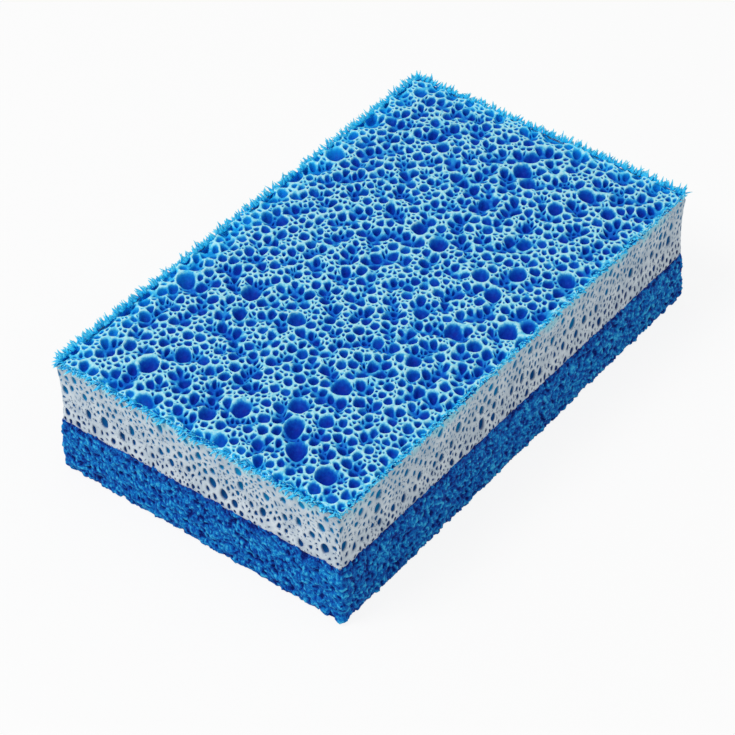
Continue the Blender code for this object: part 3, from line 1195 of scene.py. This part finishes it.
# A pale cyan tint along the top of the skin, near the net: its colour, mottle, levels and strength.
TOP_TINT_COLOUR = "8CDCEC"
TOP_TINT_MOTTLE = 0.5
TOP_TINT_LEVELS = 0.93, 1.12
TOP_TINT_STRENGTH = 0.8
SKIN_COLOURS = [(0.3, "BDCBD6"), (0.7, "DEE8EE")]
# Painted shade inside the holes, from low down to near the net.
HOLE_COLOURS = [(0.05, "061C66"), (0.4, "08508F"), (0.9, "128FC4")]


def core_level(tree):
    """0 at the lowest corner of the bond and 1 at the top of the core's solid."""
    height = add_node(tree, "ShaderNodeSeparateXYZ", None, Vector=object_place(tree)).outputs["Z"]
    level = add_node(
        tree, "ShaderNodeMapRange", None,
        Value=height, From_Min=BOND_CORNERS[1, 1], From_Max=core_high.z, To_Min=0.0, To_Max=1.0,
    )
    return level.outputs["Result"]


def core_material():
    made, tree, shader = new_material("white_core_foam", roughness=0.85)
    grain = use_group(tree, foam_grain, Grain_Scale=2200.0, Mottle_Scale=260.0)
    tiny = use_group(tree, pinholes, Scale=1350.0, Size=0.38, Share=0.65)
    level = core_level(tree)
    dots = arithmetic(tree, "MULTIPLY", tiny.outputs["Mask"], PINHOLE_DARK)
    skin = ramp(tree, grain.outputs["Mottle"], SKIN_COLOURS)
    skin = mix_colours(tree, dots, skin, from_hex(PINHOLE_COLOUR))
    ragged_level = mottled(tree, level, grain, TOP_TINT_MOTTLE, clamp=False)
    # Tints the skin pale cyan along the top.
    top_tint = smooth_share(tree, ragged_level, *TOP_TINT_LEVELS, TOP_TINT_STRENGTH)
    skin = mix_colours(tree, top_tint, skin, from_hex(TOP_TINT_COLOUR))
    # Inside the holes the painted shade takes over from the skin.
    colour = mix_colours(tree, read_value(tree, "shade"), skin, ramp(tree, level, HOLE_COLOURS))
    finish_foam(tree, shader, colour, grain, strength=0.3, distance=0.1 * MM)
    return made


core_foam = core_material()
print("material:", core_foam.name)

# %% [markdown]
# ## The base's deep blue foam
# The base is the darkest blue, with its ridges painted lighter as a painted highlight and its pits painted
# nearly navy as painted shade. Its pores are so fine that they read as dots, and short pale threads are
# painted highlights on the grain. The threads are the places where a noise crosses its middle value,
# which draws thin wandering lines.

# %% Mix the base's foam
BASE_MOTTLE = 1.3
DOT_DARK = 0.4
# Width and strength of the threads of painted highlight.
THREAD_WIDTH = 0.035
THREAD_LIGHT = 0.3
# From the painted highlight on the ridges to the painted shade in the pits.
BASE_COLOURS = [
    (0.0, "40B8E8"), (0.2, "1288D2"), (0.45, "0964BA"), (0.72, "053E9C"), (1.0, "021868"),
]


def pale_threads(tree):
    """A mask of thin wandering lines, for painted highlights."""
    place = object_place(tree)
    cloud = add_node(
        tree, "ShaderNodeTexNoise", None, Vector=place, Scale=1150.0, Detail=1.0, Distortion=0.6
    )
    from_middle = arithmetic(tree, "SUBTRACT", cloud.outputs["Fac"], 0.5)
    off_line = arithmetic(tree, "ABSOLUTE", from_middle, 0.0)
    return smooth_share(tree, off_line, THREAD_WIDTH, 0.0, THREAD_LIGHT)


def base_material():
    made, tree, shader = new_material("blue_base_foam", roughness=0.7)
    grain = use_group(tree, foam_grain, Grain_Scale=2400.0, Mottle_Scale=1500.0)
    tiny = use_group(tree, pinholes, Scale=1100.0, Size=0.42, Share=0.55)
    shade = mottled(tree, read_value(tree, "shade"), grain, BASE_MOTTLE)
    dots = arithmetic(tree, "MULTIPLY", tiny.outputs["Mask"], DOT_DARK)
    shade = arithmetic(tree, "ADD", shade, dots, clamp=True)
    shade = arithmetic(tree, "SUBTRACT", shade, pale_threads(tree), clamp=True)
    colour = ramp(tree, shade, BASE_COLOURS)
    finish_foam(tree, shader, colour, grain, strength=0.6, distance=0.2 * MM)
    return made


base_foam = base_material()
for made in [*net_pieces, torn_edge]:
    made.data.materials.append(net_foam)
for made in core_pieces:
    made.data.materials.append(core_foam)
base_crust.data.materials.append(base_foam)
print("material:", base_foam.name)

# %% [markdown]
# ## Hand the pieces to the frame
# Every piece rides on the sponge's one body and stands for its plain solid, which is hidden.


def attach(piece, node):
    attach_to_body(piece, "root")
    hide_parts(node)


for piece in net_pieces:
    attach(piece, "scrubbing_net")
attach(torn_edge, "scrubbing_net")
for piece in core_pieces:
    attach(piece, "foam_core")
attach(base_crust, "absorbent_base")
print("pieces attached:", len(net_pieces) + len(core_pieces) + 2)

# %% [markdown]
# ## The table and the light
# A white table under plain soft light. The background is white only where the camera sees it, by itself
# or in something shiny, so it doesn't flood the foam with light. The table keeps the sponge's shadow.

# %% Light the sponge
TABLE_SIZE = 4.0
WORLD_LIGHT = 0.54
TABLE_GLOW = 0.88


def seen_directly(tree):
    """1 for rays that the camera sees, by itself, in a mirror or through glass."""
    path = add_node(tree, "ShaderNodeLightPath")
    shiny = arithmetic(tree, "MAXIMUM", path.outputs["Is Glossy Ray"], path.outputs["Is Transmission Ray"])
    return arithmetic(tree, "MAXIMUM", path.outputs["Is Camera Ray"], shiny)


def mix_shaders(tree, share, first, second):
    mix = add_node(
        tree, "ShaderNodeMixShader", None, Fac=share, i1=first.outputs[0], i2=second.outputs[0]
    )
    return mix.outputs[0]


def white_world():
    world = bpy.data.worlds.new("studio")
    world.use_nodes = True
    tree = world.node_tree
    tree.nodes.clear()
    glow = add_node(tree, "ShaderNodeBackground", None, Color=(1, 1, 1, 1), Strength=WORLD_LIGHT)
    white = add_node(tree, "ShaderNodeBackground", None, Color=(1, 1, 1, 1), Strength=1.0)
    chosen = mix_shaders(tree, seen_directly(tree), glow, white)
    add_node(tree, "ShaderNodeOutputWorld", None, Surface=chosen)
    bpy.context.scene.world = world


def white_table():
    data = bpy.data.meshes.new("table")
    half = TABLE_SIZE / 2
    corners = [(-half, -half, 0), (half, -half, 0), (half, half, 0), (-half, half, 0)]
    data.from_pydata(corners, [], [(0, 1, 2, 3)])
    table = new_object("table", data)
    made = bpy.data.materials.new("white_table")
    made.use_nodes = True
    tree = made.node_tree
    tree.nodes.clear()
    matt = add_node(tree, "ShaderNodeBsdfDiffuse", None, Color=(0.8, 0.8, 0.8, 1))
    glow = add_node(tree, "ShaderNodeEmission", None, Color=(1, 1, 1, 1), Strength=1.0)
    share = arithmetic(tree, "MULTIPLY", seen_directly(tree), TABLE_GLOW)
    add_node(tree, "ShaderNodeOutputMaterial", None, Surface=mix_shaders(tree, share, matt, glow))
    data.materials.append(made)
    return table


def soft_lamp(name, azimuth, elevation, distance, size, power):
    """An area lamp that faces the sponge from these angles in degrees, counted as the camera's are."""
    back = direction_to(math.radians(azimuth), math.radians(elevation))
    data = bpy.data.lights.new(name, "AREA")
    data.size = size
    data.energy = power
    lamp = new_object(name, data)
    lamp.location = back * distance
    lamp.rotation_mode = "QUATERNION"
    lamp.rotation_quaternion = (-back).to_track_quat("-Z", "Y")
    return lamp


white_world()
table = white_table()
key_lamp = soft_lamp("key", azimuth=-120, elevation=55, distance=1.2, size=0.5, power=7)
fill_lamp = soft_lamp("fill", azimuth=20, elevation=35, distance=1.4, size=0.8, power=1.2)
bpy.context.scene.view_settings.view_transform = "Standard"
print("staged:", table.name, "lamps:", key_lamp.name, fill_lamp.name)
